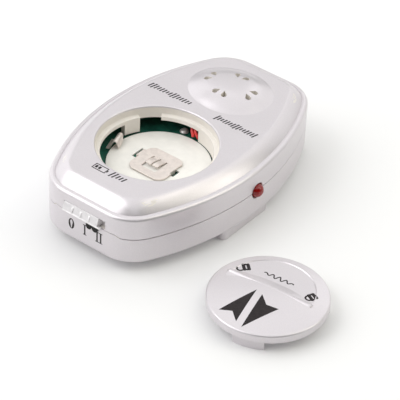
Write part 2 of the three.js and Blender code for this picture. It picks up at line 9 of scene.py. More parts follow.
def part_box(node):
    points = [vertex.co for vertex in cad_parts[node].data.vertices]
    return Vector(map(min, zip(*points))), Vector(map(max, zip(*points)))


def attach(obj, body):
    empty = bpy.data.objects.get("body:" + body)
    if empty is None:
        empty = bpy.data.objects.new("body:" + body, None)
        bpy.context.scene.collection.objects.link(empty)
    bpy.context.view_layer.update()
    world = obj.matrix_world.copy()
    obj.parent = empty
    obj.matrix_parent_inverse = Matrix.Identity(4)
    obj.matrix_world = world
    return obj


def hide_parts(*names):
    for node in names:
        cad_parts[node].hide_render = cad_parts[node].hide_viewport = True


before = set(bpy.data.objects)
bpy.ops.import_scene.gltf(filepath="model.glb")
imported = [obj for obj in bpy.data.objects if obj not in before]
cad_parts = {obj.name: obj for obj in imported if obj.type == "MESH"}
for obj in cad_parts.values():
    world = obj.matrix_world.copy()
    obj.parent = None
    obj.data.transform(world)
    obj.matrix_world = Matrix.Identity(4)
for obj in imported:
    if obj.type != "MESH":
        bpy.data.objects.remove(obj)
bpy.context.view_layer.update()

MM = 0.001


def box_mm(node):
    low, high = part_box(node)
    return low / MM, high / MM


# ---- sizes, in millimetres, from the frame's boxes where it has them ----
shell_low, shell_high = box_mm("top_housing")
disc_low, disc_high = box_mm("insulating_disc")
board_low, board_high = box_mm("circuit_board")
cover_low, cover_high = box_mm("battery_cover")
lamp_low, lamp_high = box_mm("led_lamp")
pin_low, pin_high = box_mm("clip_pin")
clip_low, clip_high = box_mm("belt_clip")
lever_low, lever_high = box_mm("switch_lever")
plate_low, plate_high = box_mm("negative_contact")

# the two shells: plan outline, heights and walls
length = shell_high.y - shell_low.y
half_width = (shell_high.x - shell_low.x) / 2
front = shell_low.y
side_radius = 53.8
corner_radius = 8.3
seam_gap = 0.3              # between the shells in the CAD
seam_shown = 0.14           # the narrower line that shows
seam = shell_low.z - seam_gap / 2
base = seam - 5.93
shoulder = base + 10.98
top = base + 13.16
wall = 1.6
ceiling = 1.4
fillet = 0.85
screw_hole = 1.15
screw_spots = [(x, y) for y in (-22.5, 22.5) for x in (-9.5, 9.5)]

# the battery well and the cover that lies beside the body
well_y = -7.93
lip_radius = 12.54
ledge_radius = 11.5
ledge_top = top - 1.86
ledge_bottom = ledge_top - 0.9
disc_mid = (disc_low + disc_high) / 2
disc_radius = (disc_high.x - disc_low.x) / 2
cover_mid = (cover_low + cover_high) / 2
cover_radius = (cover_high.x - cover_low.x) / 2
cover_turn = math.radians(5.1)
lug_top = 2.3
cover_edge = lug_top + 1.85
cover_crown = cover_edge + 0.85
grip_crest_y = 1.55
recess_x = -0.6
recess_radius = 8.8

# the sounder's dome, the switch, the lamp and the clip's hinge
dome_y = 16.0
dome_half_x, dome_half_y = 9.5, 8.0
dome_height = shell_high.z - top
step_top = seam + 0.6
step_half = 8.0
window_top = base + 8.75
pocket_top = base + 9.15
lamp_mid = (lamp_low + lamp_high) / 2
hinge_low, hinge_high = clip_low.y, clip_high.y
pin_mid = (pin_low + pin_high) / 2
cheek = 2.2                 # thickness of the block at each end of the hinge

ALONG_X = Matrix.Rotation(math.pi / 2, 3, "Y")      # turns an upright shape to lie along X
ALONG_Y = Matrix.Rotation(-math.pi / 2, 4, "X")     # and along Y


# ---- camera ----
def add_camera():
    """Looks down on the front and the lamp's side from close by, as the photo does."""
    azimuth = math.radians(37.256)
    elevation = math.radians(37.725)
    roll = math.radians(2.395)
    aim = Vector((0.0069, -0.0020, 0.0009))      # metres
    distance = 0.4447
    back = Vector((math.sin(azimuth) * math.cos(elevation),
                   -math.cos(azimuth) * math.cos(elevation), math.sin(elevation)))
    level = Vector((math.cos(azimuth), math.sin(azimuth), 0))
    above = back.cross(level)
    right = math.cos(roll) * level + math.sin(roll) * above
    up = back.cross(right)
    lens = bpy.data.cameras.new("camera")
    lens.sensor_width = 36
    lens.lens = 195.6
    lens.clip_start = 0.01
    camera = bpy.data.objects.new("camera", lens)
    facing = Matrix((right, up, back)).transposed().to_4x4()
    camera.matrix_world = Matrix.Translation(aim + back * distance) @ facing
    bpy.context.scene.collection.objects.link(camera)
    bpy.context.scene.camera = camera


add_camera()


# ---- material helpers ----
def new_material(name, colour, roughness, metallic=0.0, **extra):
    made = bpy.data.materials.new(name)
    made.use_nodes = True
    shader = made.node_tree.nodes["Principled BSDF"]
    shader.inputs["Base Color"].default_value = (*colour, 1)
    shader.inputs["Roughness"].default_value = roughness
    shader.inputs["Metallic"].default_value = metallic
    for socket, value in extra.items():
        shader.inputs[socket.replace("_", " ")].default_value = value
    return made


def add_node(material, kind, **values):
    node = material.node_tree.nodes.new(kind)
    for name, value in values.items():
        if name in node.inputs:
            node.inputs[name].default_value = value
        else:
            setattr(node, name, value)
    return node


def noise(material, scale, detail=3.0):
    where = add_node(material, "ShaderNodeTexCoord")
    texture = add_node(material, "ShaderNodeTexNoise", Scale=scale, Detail=detail)
    material.node_tree.links.new(where.outputs["Object"], texture.inputs["Vector"])
    return texture.outputs["Fac"]


def spread(material, source, low, high):
    """Maps the middle of a noise's range, where nearly all of it lies, to a range of numbers."""
    ramp = add_node(material, "ShaderNodeMapRange")
    ramp.inputs["From Min"].default_value = 0.35
    ramp.inputs["From Max"].default_value = 0.65
    ramp.inputs["To Min"].default_value = low
    ramp.inputs["To Max"].default_value = high
    material.node_tree.links.new(source, ramp.inputs["Value"])
    return ramp.outputs["Result"]


def mix_colour(material, source, first, second):
    mix = add_node(material, "ShaderNodeMix", data_type="RGBA")
    factor, colour_a, colour_b, result = mix.inputs[0], mix.inputs[6], mix.inputs[7], mix.outputs[2]
    colour_a.default_value = (*first, 1)
    colour_b.default_value = (*second, 1)
    material.node_tree.links.new(source, factor)
    return result


def drive(material, source, socket):
    shader = material.node_tree.nodes["Principled BSDF"]
    material.node_tree.links.new(source, shader.inputs[socket])


def bump(material, source, strength, distance):
    node = add_node(material, "ShaderNodeBump", Strength=strength, Distance=distance)
    material.node_tree.links.new(source, node.inputs["Height"])
    drive(material, node.outputs["Normal"], "Normal")


# ---- materials ----
def silver_paint():
    """Fine flakes in the colour and the surface, and slow clouds in the roughness."""
    paint = new_material("silver_paint", (0.69, 0.66, 0.68), 0.34, 0.5)
    flakes = noise(paint, 5200, 2)
    clouds = noise(paint, 140, 3)
    drive(paint, mix_colour(paint, spread(paint, flakes, 0, 1), (0.695, 0.66, 0.685),
                            (0.725, 0.69, 0.715)), "Base Color")
    drive(paint, spread(paint, clouds, 0.29, 0.34), "Roughness")
    bump(paint, flakes, 0.01, 0.00001)
    return paint


def raw_plastic():
    """The moulding's bare plastic, which shows inside the shells and the well."""
    plastic = new_material("raw_plastic", (0.82, 0.78, 0.73), 0.45)
    grain = noise(plastic, 1600, 4)
    drive(plastic, mix_colour(plastic, spread(plastic, noise(plastic, 160), 0, 1),
                              (0.80, 0.76, 0.70), (0.86, 0.82, 0.77)), "Base Color")
    drive(plastic, spread(plastic, grain, 0.38, 0.52), "Roughness")
    bump(plastic, grain, 0.08, 0.00003)
    return plastic


def plain(name, colour, roughness, metallic=0.0, scale=900, vary=0.12, depth=0.06, **extra):
    """A material with fine grain in its colour, roughness and surface."""
    made = new_material(name, colour, roughness, metallic, **extra)
    grain = noise(made, scale, 4)
    darker = tuple(c * (1 - vary) for c in colour)
    lighter = tuple(min(1, c * (1 + vary)) for c in colour)
    drive(made, mix_colour(made, spread(made, grain, 0, 1), darker, lighter), "Base Color")
    clouds = noise(made, scale / 6)
    drive(made, spread(made, clouds, roughness * 0.85, roughness * 1.2), "Roughness")
    bump(made, grain, depth, 0.00003)
    return made


SILVER = silver_paint()
RAW = raw_plastic()
BOARD = plain("board_green", (0.012, 0.11, 0.075), 0.35, scale=700, vary=0.3)
CREAM = plain("cream_sheet", (0.84, 0.825, 0.785), 0.42, scale=500, vary=0.03, depth=0.03)
NICKEL = plain("nickel", (0.77, 0.70, 0.655), 0.34, 0.4, scale=1200, vary=0.06)
STEEL = plain("steel", (0.60, 0.61, 0.62), 0.3, 0.95, scale=1500, vary=0.08)
BRASS = plain("brass", (0.62, 0.45, 0.18), 0.35, 0.95, scale=900)
CERAMIC = plain("ceramic", (0.75, 0.72, 0.66), 0.5, scale=1400)
PALE = plain("pale_plastic", (0.84, 0.82, 0.83), 0.32, 0.25, scale=1500, vary=0.04)
BLACK = plain("black_plastic", (0.007, 0.006, 0.006), 0.5, scale=1300, Specular_IOR_Level=0.25)
INK = plain("black_ink", (0.015, 0.010, 0.011), 0.45, scale=2400, vary=0.3,
            Specular_IOR_Level=0.3)
RED_WIRE = plain("red_wire", (0.74, 0.06, 0.06), 0.32, scale=900, vary=0.1)
RED_LENS = plain("red_lens", (0.30, 0.004, 0.003), 0.2, scale=300, vary=0.2, depth=0.01,
                 Coat_Weight=0.3, Coat_Roughness=0.06)
SOLDER = plain("solder", (0.70, 0.67, 0.67), 0.36, 0.6, scale=600, depth=0.2)
COPPER = plain("copper", (0.45, 0.16, 0.06), 0.35, 0.8, scale=2000)


# ---- mesh helpers ----
def mesh_object(name, points, faces, materials, index=0):
    """A mesh whose faces all take the material that the index picks."""
    mesh = bpy.data.meshes.new(name)
    mesh.from_pydata([Vector(point) * MM for point in points], [], faces)
    for material in materials:
        mesh.materials.append(material)
    for face in mesh.polygons:
        face.material_index = index
    mesh.validate()
    made = bpy.data.objects.new(name, mesh)
    bpy.context.scene.collection.objects.link(made)
    return made


def loops_object(name, loops, materials, index=0):
    """A closed solid through loops of the same count, with a face over each end."""
    count = len(loops[0])
    points = [point for loop in loops for point in loop]
    faces = []
    for layer in range(len(loops) - 1):
        for i in range(count):
            a = layer * count + i
            b = layer * count + (i + 1) % count
            faces.append((a, b, b + count, a + count))
    faces.append(tuple(reversed(range(count))))
    last = (len(loops) - 1) * count
    faces.append(tuple(range(last, last + count)))
    return face_outward(mesh_object(name, points, faces, materials, index))


def face_outward(piece):
    """Points a closed solid's faces outwards, so that booleans read it as solid."""
    mesh = bmesh.new()
    mesh.from_mesh(piece.data)
    bmesh.ops.recalc_face_normals(mesh, faces=mesh.faces[:])
    mesh.to_mesh(piece.data)
    mesh.free()
    return piece


def evenly(start, end, count):
    """Values from start to end in equal steps, with both ends."""
    return [start + (end - start) * i / count for i in range(count + 1)]


def outline(inset):
    """The body's plan outline, drawn in by an inset, going round from +X."""
    side_steps, corner_steps = 18, 14
    side_centre = half_width - side_radius
    corner_y = length / 2 - corner_radius
    corner_x = side_centre + math.sqrt((side_radius - corner_radius) ** 2 - corner_y ** 2)
    turn = math.atan2(corner_y, corner_x - side_centre)
    quarter = []
    for angle in evenly(0, turn, side_steps)[:-1]:
        reach = side_radius - inset
        quarter.append((side_centre + reach * math.cos(angle), reach * math.sin(angle)))
    for angle in evenly(turn, math.pi / 2, corner_steps):
        reach = corner_radius - inset
        quarter.append((corner_x + reach * math.cos(angle), corner_y + reach * math.sin(angle)))
    half = quarter + [(-x, y) for x, y in reversed(quarter)]
    return half + [(x, -y) for x, y in reversed(half[1:-1])]


def stacked(name, layers, materials, index=0):
    """The body's outline stacked up through (inset, height) layers."""
    loops = [[(x, y, height) for x, y in outline(inset)] for inset, height in layers]
    return loops_object(name, loops, materials, index)


def turned(name, profile, materials, index=0, at=(0, 0), steps=128, spin=None):
    """A profile of (radius, height) points turned about a vertical line. It starts and ends
    on the line, or closes on itself."""
    on_the_line = 1e-6
    points = []
    rings = []
    for radius, height in profile:
        if radius < on_the_line:
            rings.append([len(points)] * steps)
            points.append((0, 0, height))
            continue
        rings.append(list(range(len(points), len(points) + steps)))
        for i in range(steps):
            angle = 2 * math.pi * i / steps
            points.append((radius * math.cos(angle), radius * math.sin(angle), height))
    closed = profile[0][0] > on_the_line
    pairs = list(zip(rings, rings[1:] + rings[:1])) if closed else list(zip(rings, rings[1:]))
    faces = []
    for low, high in pairs:
        for i in range(steps):
            j = (i + 1) % steps
            corners = [low[i], low[j], high[j], high[i]]
            face = [c for k, c in enumerate(corners) if c != corners[k - 1]]
            if len(face) > 2:
                faces.append(face)
    if spin is not None:
        points = [spin @ Vector(point) for point in points]
    points = [(x + at[0], y + at[1], z) for x, y, z in points]
    return mesh_object(name, points, faces, materials, index)


def rod(name, radius, low, high, materials, index=0, at=(0, 0), steps=48):
    return turned(name, [(0, low), (radius, low), (radius, high), (0, high)],
                  materials, index, at, steps)


def prism(name, plan, low, high, materials, index=0):
    """A plan of (x, y) points drawn out upwards."""
    return loops_object(name, [[(x, y, z) for x, y in plan] for z in (low, high)],
                        materials, index)


def prism_x(name, section, low, high, materials):
    """A section of (y, z) points drawn out along X."""
    return loops_object(name, [[(x, y, z) for y, z in section] for x in (low, high)], materials)


def prism_y(name, section, low, high, materials, index=0):
    """A section of (x, z) points drawn out along Y."""
    return loops_object(name, [[(x, y, z) for x, z in section] for y in (low, high)],
                        materials, index)


def block(name, x, y, z, materials, index=0):
    plan = [(x[0], y[0]), (x[1], y[0]), (x[1], y[1]), (x[0], y[1])]
    return prism(name, plan, z[0], z[1], materials, index)


def arc(centre, radius, start, end, steps):
    """Points along an arc, angles in degrees."""
    angles = [math.radians(angle) for angle in evenly(start, end, steps)]
    return [(centre[0] + radius * math.cos(a), centre[1] + radius * math.sin(a)) for a in angles]


def sector(name, inner, outer, start, end, low, high, materials, index=0, at=(0, 0)):
    """Part of a ring between two angles in degrees."""
    steps = max(6, round((end - start) / 2.5))
    plan = arc(at, outer, start, end, steps) + arc(at, inner, end, start, steps)
    return prism(name, plan, low, high, materials, index)


def rounded_plan(x, y, radius, steps=6):
    """A rectangle with rounded corners."""
    plan = []
    corners = [(x[1], y[1], 0), (x[0], y[1], 90), (x[0], y[0], 180), (x[1], y[0], 270)]
    for cx, cy, start in corners:
        centre = (cx - math.copysign(radius, cx - (x[0] + x[1]) / 2),
                  cy - math.copysign(radius, cy - (y[0] + y[1]) / 2))
        plan += arc(centre, radius, start, start + 90, steps)
    return plan


def moved(piece, matrix):
    piece.data.transform(matrix)
    return piece


def shifted(x, y, z):
    return Matrix.Translation(Vector((x, y, z)) * MM)


def settle(piece):
    """Makes the modifiers' result the piece's own mesh."""
    graph = bpy.context.evaluated_depsgraph_get()
    mesh = bpy.data.meshes.new_from_object(piece.evaluated_get(graph))
    piece.modifiers.clear()
    piece.data = mesh
    return piece


def change(piece, operation, tools):
    """Joins, cuts or clips a piece with closed tools, which are used up."""
    for tool in tools:
        step = piece.modifiers.new(tool.name, "BOOLEAN")
        step.operation = operation
        step.solver = "MANIFOLD"
        step.object = tool
    settle(piece)
    for tool in tools:
        bpy.data.objects.remove(tool)
    return piece


def join(piece, *tools):
    return change(piece, "UNION", tools)


def cut(piece, *tools):
    return change(piece, "DIFFERENCE", tools)


def keep_within(piece, tool):
    return change(piece, "INTERSECT", [tool])


def soften(piece, width, segments=3, angle=30):
    """Rounds the piece's hard edges, width in millimetres."""
    step = piece.modifiers.new("rounding", "BEVEL")
    step.width = width * MM
    step.segments = segments
    step.limit_method = "ANGLE"
    step.angle_limit = math.radians(angle)
    step.harden_normals = False
    return settle(piece)


def finish_piece(piece, body, slot, *nodes, angle=32):
    """Smooth shading with crisp edges, then ride and the CAD nodes it stands for. The slot is not
    used.
    """
    piece.data.shade_smooth()
    piece.data.set_sharp_from_angle(angle=math.radians(angle))
    weights = piece.modifiers.new("normals", "WEIGHTED_NORMAL")
    weights.keep_sharp = True
    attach(piece, body)
    if nodes:
        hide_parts(*nodes)
    return piece


def tube(name, path, radius, materials):
    """A round wire along a smooth line through the points of a path."""
    steps_round = 16
    line = smooth_line([Vector(point) for point in path], 64)
    loops = []
    side = None
    for i, point in enumerate(line):
        ahead = heading(line, i)
        if side is None:
            side = ahead.orthogonal().normalized()
        side = (side - ahead * side.dot(ahead)).normalized()
        other = ahead.cross(side)
        ring = []
        for k in range(steps_round):
            angle = 2 * math.pi * k / steps_round
            ring.append(point + radius * (math.cos(angle) * side + math.sin(angle) * other))
        loops.append(ring)
    return loops_object(name, loops, materials)


def heading(line, i):
    """The direction of a line at one of its points."""
    return (line[min(i + 1, len(line) - 1)] - line[max(i - 1, 0)]).normalized()


def smooth_line(points, samples):
    """Catmull-Rom through the points."""
    ends = [2 * points[0] - points[1]] + points + [2 * points[-1] - points[-2]]
    line = []
    spans = len(points) - 1
    for t in evenly(0, spans, samples):
        k = min(int(t), spans - 1)
        f = t - k
        a, b, c, d = ends[k:k + 4]
        line.append(0.5 * ((2 * b) + (c - a) * f + (2 * a - 5 * b + 4 * c - d) * f * f
                           + (3 * b - 3 * c + d - a) * f ** 3))
    return line


# ---- upper shell ----
BOTH = [SILVER, RAW]        # index 0 is painted, index 1 is bare


def at_screws(name, radius, low, high, index=1):
    return [rod(name, radius, low, high, BOTH, index, spot) for spot in screw_spots]


def bevel_layers():
    """The sloping top edge, steep at its foot and easing into the flat top."""
    foot, run, rise, ease = 1.36, 2.75, top - shoulder, 1.45
    return [(foot + run * part, shoulder + rise * (1 - (1 - part) ** ease))
            for part in evenly(0, 1, 12)]


def round_layers(inset, height, radius):
    """A convex rounding from the wall up to a flat, as (inset, height) layers."""
    return [(inset + radius * (1 - math.cos(a)), height - radius * (1 - math.sin(a)))
            for a in evenly(0, math.pi / 2, 6)]


def top_housing():
    """The upper shell with its well, dome, switch window, screw posts and sound holes."""
    low = seam + seam_shown / 2
    layers = [(0.1, low), (0.03, low + 0.03), (0, low + 0.1)]
    layers += round_layers(0, shoulder, fillet)
    layers += [(1.14, shoulder), (1.2, shoulder - 0.1), (1.28, shoulder - 0.1)]
    layers += bevel_layers()
    shell = stacked("top_shell", layers, BOTH)
    inside = stacked("inside", [(wall, low - 1), (wall, shoulder - wall), (5.2, top - ceiling)],
                     BOTH, 1)
    outer = stacked("outer", layers, BOTH, 1)
    first, *others = at_screws("post", 2.2, seam + 1.1, top - 0.5)
    posts = keep_within(join(first, *others), outer)
    cut(shell, inside)
    plug = rod("plug", lip_radius + 1.2, ledge_bottom, top - 0.3, BOTH, 1, (0, well_y), 128)
    skirts = [sector("skirt", ledge_radius - 0.3, lip_radius + 0.3, start, end, board_high.z + 0.6,
                     ledge_bottom + 0.2, BOTH, 1, (0, well_y))
              for start, end in ((-102, 82), (147, 164))]
    join(shell, posts, plug, *skirts, sounder_dome(), sounder_seat())
    post_holes = at_screws("post_hole", screw_hole, seam - 1, base + 10.2)
    cut(shell, well_cutter(), well_lip(), *well_entries(), *switch_window(), lamp_bore(),
        dome_hollow(), *post_holes, *sound_holes())
    return finish_piece(shell, "housing", "silver_plastic", "top_housing")


def well_cutter():
    """The open well: a ledge that the cover's lugs pass under, and a wider mouth above it."""
    profile = [(0, base + 4), (ledge_radius, base + 4), (ledge_radius, ledge_top - 0.14),
               (ledge_radius + 0.05, ledge_top - 0.04), (ledge_radius + 0.16, ledge_top),
               (lip_radius - 0.14, ledge_top), (lip_radius, ledge_top + 0.14),
               (lip_radius, top + 1), (0, top + 1)]
    return turned("well", profile, BOTH, 1, (0, well_y), 160)


def well_lip():
    """The rounded edge where the top face turns down into the well."""
    reach = 0.34
    profile = [(lip_radius - 1, top - reach)]
    profile += [(lip_radius + reach * (1 - math.cos(a)), top - reach + reach * math.sin(a))
                for a in evenly(0, math.pi / 2, 7)]
    profile += [(lip_radius + reach, top + 1), (lip_radius - 1, top + 1)]
    return turned("lip", profile, BOTH, 0, (0, well_y), 160)


def well_entries():
    """Gaps in the ledge where the cover's lugs drop in."""
    return [sector("entry", ledge_radius - 1, lip_radius, angle - 11, angle + 11,
                   ledge_bottom - 1, ledge_top + 0.3, BOTH, 1, (0, well_y))
            for angle in (136, 256)]


def oval_dome(name, half_x, half_y, height, foot, depth, steps, index):
    """An oval dome, steep at its foot and nearly flat on top."""
    profile = [(0, foot - depth), (1, foot - depth)]
    for part in evenly(0, 1, steps)[:-1]:
        across = math.cos(math.pi / 2 * part ** 1.3)
        profile.append((across, foot + height * (1 - across ** 3) ** 1.2))
    profile.append((0, foot + height))
    dome = turned(name, profile, BOTH, index, steps=128)
    moved(dome, Matrix.Diagonal((half_x, half_y, 1, 1)))
    return moved(dome, shifted(0, dome_y, 0))


def sounder_dome():
    return oval_dome("dome", dome_half_x, dome_half_y, dome_height, top, 0.6, 28, 0)


def dome_hollow():
    thickness = 1.4
    return oval_dome("hollow", dome_half_x - thickness, dome_half_y - thickness,
                     dome_height - 0.3, top - ceiling, 1.2, 10, 1)


def sounder_seat():
    """The ring under the dome that the sounder sits in, with a gap for its wires."""
    inner, outer, foot, rise = 8.6, 9.6, top - 3.6, top - 0.6
    seat = turned("seat", [(inner, foot), (outer, foot), (outer, rise), (inner, rise)],
                  BOTH, 1, (0, dome_y), 64)
    gap = block("wire_gap", (-2.2, 2.6), (dome_y - 10, dome_y - 7.5), (top - 4, top - 2), BOTH, 1)
    return cut(seat, gap)


def switch_window():
    """The hole for the knob, and the step in the split line round it."""
    window, pocket = 5.35, 7.6
    return [block("window", (-window, window), (front - 1, front + 2), (seam - 1, window_top),
                  BOTH, 0),
            block("pocket", (-pocket, pocket), (front + 0.9, front + 2), (seam - 1, pocket_top),
                  BOTH, 1),
            prism_y("step", step_plan(step_half, seam_shown / 2), front - 1, front + 2.1, BOTH, 1)]


def step_plan(half, lift):
    """The step's outline across the front, with sloping ends."""
    foot, crest = half + 0.6, half - 0.4
    return [(-foot, seam - 1), (foot, seam - 1), (foot, seam + lift), (crest, step_top + lift),
            (-crest, step_top + lift), (-foot, seam + lift)]


def lamp_bore():
    radius, inner, outer = 1.75, 16, 21.5
    bore = turned("bore", [(0, inner), (radius, inner), (radius, outer), (0, outer)], BOTH, 1,
                  steps=64, spin=ALONG_X)
    return moved(bore, shifted(0, lamp_mid.y, seam))


def sound_holes():
    """Eight tear-shaped holes, a pair on each side of the dome, splayed outwards."""
    tear = [(-0.9, 0.0), (-0.7, 0.12), (-0.3, 0.33), (0.0, 0.52)]
    tear += arc((0.3, 0), 0.61, 100, -100, 16)
    tear += [(0.0, -0.52), (-0.3, -0.33), (-0.7, -0.12)]
    splay, apart = 31, 1.0
    holes = []
    for side in range(4):
        reach = 5.15 if side % 2 == 0 else 3.6
        for hand in (-1, 1):
            hole = prism("hole", tear[::-1], top - 4, top + 4, BOTH, 1)
            moved(hole, Matrix.Rotation(math.radians(splay * hand), 4, "Z"))
            moved(hole, shifted(reach, apart * hand, 0))
            moved(hole, Matrix.Rotation(math.pi / 2 * side, 4, "Z"))
            holes.append(moved(hole, shifted(0, dome_y, 0)))
    return holes


# ---- lower shell ----
def bottom_housing():
    """The lower shell with its lip, bosses, board rests, raised step and hinge block."""
    rim = seam - seam_shown / 2
    rounded = [(inset, 2 * base + fillet - height) for inset, height in
               reversed(round_layers(0, base + fillet, fillet))]
    layers = rounded + [(0, rim - 0.1), (0.03, rim - 0.03), (0.1, rim), (0.2, rim),
                        (0.22, rim + seam_shown - 0.015)]
    shell = stacked("bottom_shell", layers, BOTH)
    inside = stacked("inside", [(wall, base + 1.5), (wall, base + 4.5), (2.5, base + 4.9),
                                (2.5, rim + 2)], BOTH, 1)
    cut(shell, inside)
    lip = stacked("lip", [(1.95, rim - 0.5), (1.95, rim + 0.8), (2.05, rim + 0.9)], BOTH, 1)
    cut(lip, stacked("lip_inside", [(2.5, rim - 1), (2.5, rim + 1)], BOTH, 1))
    bosses = at_screws("boss", 2.7, base + 1, rim)
    rests = [rod("rest", 1, base + 1, board_low.z - 0.2, BOTH, 1, spot, 24)
             for spot in ((-12.5, -9), (12.5, -9), (-11, 12), (11, 12))]
    join(shell, lip, raised_step(rim), *bosses, *rests, hinge_block())
    bores = at_screws("bore", screw_hole, base - 1, rim + 1)
    bores += at_screws("counterbore", 1.95, base - 1, base + 2, 0)
    room = (base + 3.6, rim + 2)
    bores.append(block("switch_room", (-7.4, 8.2), (front + 1.6, front + 3.1), room, BOTH, 1))
    bores.append(block("lamp_room", (13, 17.4), (-1.7, 2.7), room, BOTH, 1))
    cut(shell, *bores, lamp_bore(), pin_bore())
    return finish_piece(shell, "housing", "silver_plastic", "bottom_housing")


def raised_step(rim):
    """The part of the lower shell that stands up round the switch, a hair narrower than the
    notch it fills, with a layer set back behind the split line so that nothing shows through."""
    crest = step_top - seam_shown / 2
    body = stacked("step_body", [(0, rim - 0.5), (0, crest - 0.1), (0.03, crest - 0.03),
                                 (0.1, crest)], BOTH)
    backing = stacked("step_backing", [(0.22, rim - 0.5), (0.22, crest + 1)], BOTH)
    for layer, lift in ((body, -seam_shown / 2), (backing, seam_shown / 2 - 0.03)):
        plan = step_plan(step_half - 0.07, lift)
        keep_within(layer, prism_y("step_space", plan, front - 1, front + 1.6, BOTH, 1))
    return join(body, backing)


def hinge_block():
    """The moulded block under the lamp side, with a cheek at each end of the clip's hinge."""
    inner, outer, corner = 10.2, 17.2, 1.2
    plan = [(inner, hinge_low)] + arc((outer, hinge_low + corner), corner, -90, 0, 8)
    plan += arc((outer, hinge_high - corner), corner, 0, 90, 8) + [(inner, hinge_high)]
    body = prism("hinge_block", plan, 0, base + 0.4, BOTH)
    soften(body, 0.25)
    return cut(body, block("gap", (9, 14.2), (hinge_low + cheek, hinge_high - cheek), (-1, base),
                           BOTH))


def pin_bore():
    return to_hinge_line(rod("pin_bore", 0.55, hinge_low + 0.4, hinge_high - 0.4, BOTH, 1))


def to_hinge_line(piece):
    """Lays an upright piece along the line of the clip's pin."""
    return moved(moved(piece, ALONG_Y), shifted(pin_mid.x, 0, pin_mid.z))


# ---- battery cover ----
def cover_height(radius):
    """Height of the domed cover's face at a distance from its centre."""
    return cover_edge + (cover_crown - cover_edge) * (1 - (radius / cover_radius) ** 2)


def cover_profile():
    """Half of the cover's section: a small chamfer below, a rounded rim and the domed face."""
    profile = [(0, lug_top), (cover_radius - 0.35, lug_top), (cover_radius - 0.1, lug_top + 0.1),
               (cover_radius, lug_top + 0.35)]
    rim = 0.45
    start = cover_height(cover_radius - rim)
    for angle in evenly(0, math.pi / 2, 6):
        profile.append((cover_radius - rim * (1 - math.cos(angle)),
                        start - rim * (1 - math.sin(angle))))
    for across in evenly(cover_radius - rim, 0, 24)[1:]:
        profile.append((across, cover_height(across)))
    return profile


def battery_cover():
    """The round cover lying beside the body, built about its own centre and then moved."""
    inner, outer, lug_angles = 9.7, 11.3, (43, 163)
    disc = turned("cover", cover_profile(), [SILVER], steps=160)
    guide = sector("guide", inner, outer, -94, -61, 0, lug_top + 0.3, [SILVER])
    lugs = [sector("lug", inner, outer, angle - 14, angle + 14, 0, lug_top + 0.3, [SILVER])
            for angle in lug_angles]
    tabs = [sector("tab", 11.1, 12.1, angle - 9, angle + 9, 0, 1.2, [SILVER])
            for angle in lug_angles]
    relief = rod("relief", 9, lug_top - 1, lug_top + 0.6, [SILVER], steps=96)
    join(disc, grip_ramp(), guide, *lugs, *tabs)
    cut(disc, relief, finger_recess())
    moved(disc, Matrix.Rotation(cover_turn, 4, "Z"))
    moved(disc, shifted(cover_mid.x, cover_mid.y, 0))
    return finish_piece(disc, "cover", "silver_plastic", "battery_cover")


def crest_height(x):
    """Height of the crest, which sags a little to each side but stays on the cover's face."""
    return max(cover_edge + 0.84 - 0.0012 * x * x, cover_height(math.hypot(x, grip_crest_y)))


def grip_ramp():
    """A ramp across the cover that ends in the crest a thumb pushes on."""
    left, right = -10.3, 9.0
    loops = []
    for x in evenly(left, right, 60):
        crest = crest_height(x)
        ease = min(1.0, (x - left) / 0.6 + 0.35, (right - x) / 0.6 + 0.35)
        crest = cover_edge + (crest - cover_edge) * ease
        section = [(-1.8, crest - 0.8), (-1.0, crest - 0.6), (grip_crest_y - 0.55, crest - 0.24),
                   (grip_crest_y - 0.42, crest - 0.17), (grip_crest_y - 0.22, crest - 0.03),
                   (grip_crest_y - 0.1, crest), (grip_crest_y + 0.05, crest - 0.01),
                   (grip_crest_y + 0.18, crest - 0.06), (grip_crest_y + 0.5, crest - 0.2),
                   (grip_crest_y + 0.5, 3), (-1.8, 3)]
        loops.append([(x, y, z) for y, z in section])
    return loops_object("grip", loops, [SILVER])


def finger_recess():
    """A half-moon hollow behind the crest: a short slope down from it, then a flat floor."""
    far, reach = 12, 10
    start = grip_crest_y + 0.12
    floor = cover_edge + 0.2
    loops = []
    for x in evenly(-reach, reach, 64):
        run = 0.35 + 1.75 * (1 - (x / reach) ** 2)
        loops.append([(x, start, crest_height(x) + 0.02), (x, start + run - 0.12, floor + 0.03),
                      (x, start + run + 0.15, floor), (x, far, cover_edge - 0.02), (x, far, far),
                      (x, start, far)])
    foot, rim = recess_radius - 0.25, recess_radius + 0.35
    profile = [(0, 2), (foot, 2), (foot, cover_edge - 0.02),
               (recess_radius - 0.1, cover_edge + 0.06), (rim, cover_edge + 0.5), (rim, 8), (0, 8)]
    tool = turned("recess", profile, [SILVER], at=(recess_x, grip_crest_y), steps=160)
    return keep_within(tool, loops_object("hollow", loops, [SILVER]))


